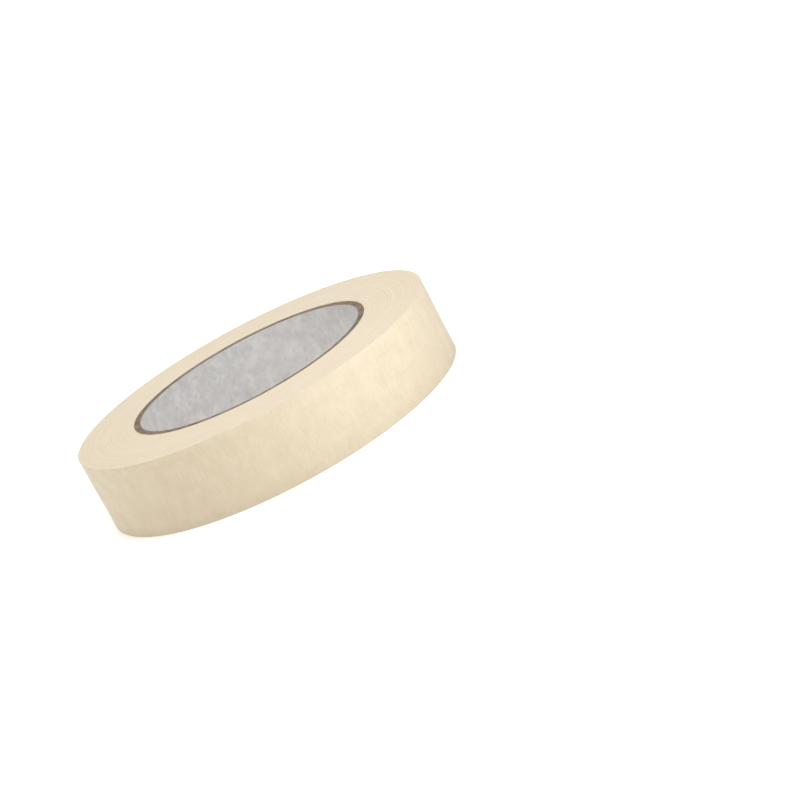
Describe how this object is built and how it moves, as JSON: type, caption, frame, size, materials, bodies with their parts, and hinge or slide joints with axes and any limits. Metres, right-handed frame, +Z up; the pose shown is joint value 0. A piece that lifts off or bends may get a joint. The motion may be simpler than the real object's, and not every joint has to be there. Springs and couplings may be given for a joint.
{
  "type": "masking tape roll",
  "caption": "Roll of cream crepe paper masking tape wound on a spiral-wound paperboard core, with a free end that peels away from the outer turn.",
  "frame": {"origin": "on the roll's axis, in the plane of its lower side face, so the roll lies flat on z = 0", "axes": "+Z up along the roll's axis; the tape's free end lies at about +Y, where it ends 8 degrees past +Y as seen from above"},
  "size_m": [0.1201, 0.1201, 0.024],
  "materials": {
    "crepe_tape": "matte",
    "tape_edge": "satin",
    "adhesive": "satin",
    "liner_paper": "matte",
    "core_board": "matte",
    "kraft_paper": "matte"
  },
  "bodies": {
    "roll": {"core_liner": "liner_paper", "core_board_ply_1": "core_board", "core_board_ply_2": "core_board", "core_board_ply_3": "core_board", "core_board_ply_4": "core_board", "core_cover_ply": "kraft_paper", "tape_winding": "tape_edge", "tape_outer_turn": "crepe_tape"},
    "tail_1": {"tail_backing_1": "crepe_tape", "tail_adhesive_1": "adhesive"},
    "tail_2": {"tail_backing_2": "crepe_tape", "tail_adhesive_2": "adhesive"},
    "tail_3": {"tail_backing_3": "crepe_tape", "tail_adhesive_3": "adhesive"},
    "tail_4": {"tail_backing_4": "crepe_tape", "tail_adhesive_4": "adhesive"},
    "tail_5": {"tail_backing_5": "crepe_tape", "tail_adhesive_5": "adhesive"},
    "tail_6": {"tail_backing_6": "crepe_tape", "tail_adhesive_6": "adhesive"}
  },
  "joints": [
    {"name": "tail_peel", "type": "hinge", "parent": "roll", "child": "tail_1", "pos_m": [0.02822, 0.05307, 0.012], "axis": [0, 0, -1], "range_deg": [0, 40]},
    {"name": "tail_curl_2", "type": "hinge", "parent": "tail_1", "child": "tail_2", "pos_m": [0.02251, 0.05573, 0.012], "axis": [0, 0, -1], "range_deg": [0, 32]},
    {"name": "tail_curl_3", "type": "hinge", "parent": "tail_2", "child": "tail_3", "pos_m": [0.01657, 0.05778, 0.012], "axis": [0, 0, -1], "range_deg": [0, 28]},
    {"name": "tail_curl_4", "type": "hinge", "parent": "tail_3", "child": "tail_4", "pos_m": [0.01044, 0.05919, 0.012], "axis": [0, 0, -1], "range_deg": [0, 24]},
    {"name": "tail_curl_5", "type": "hinge", "parent": "tail_4", "child": "tail_5", "pos_m": [0.00419, 0.05996, 0.012], "axis": [0, 0, -1], "range_deg": [0, 20]},
    {"name": "tail_curl_6", "type": "hinge", "parent": "tail_5", "child": "tail_6", "pos_m": [-0.0021, 0.06007, 0.012], "axis": [0, 0, -1], "range_deg": [0, 16]}
  ],
  "couplings": [
    {"joint": "tail_curl_2", "follows": "tail_peel", "ratio": 0.8},
    {"joint": "tail_curl_3", "follows": "tail_peel", "ratio": 0.7},
    {"joint": "tail_curl_4", "follows": "tail_peel", "ratio": 0.6},
    {"joint": "tail_curl_5", "follows": "tail_peel", "ratio": 0.5},
    {"joint": "tail_curl_6", "follows": "tail_peel", "ratio": 0.4}
  ]
}
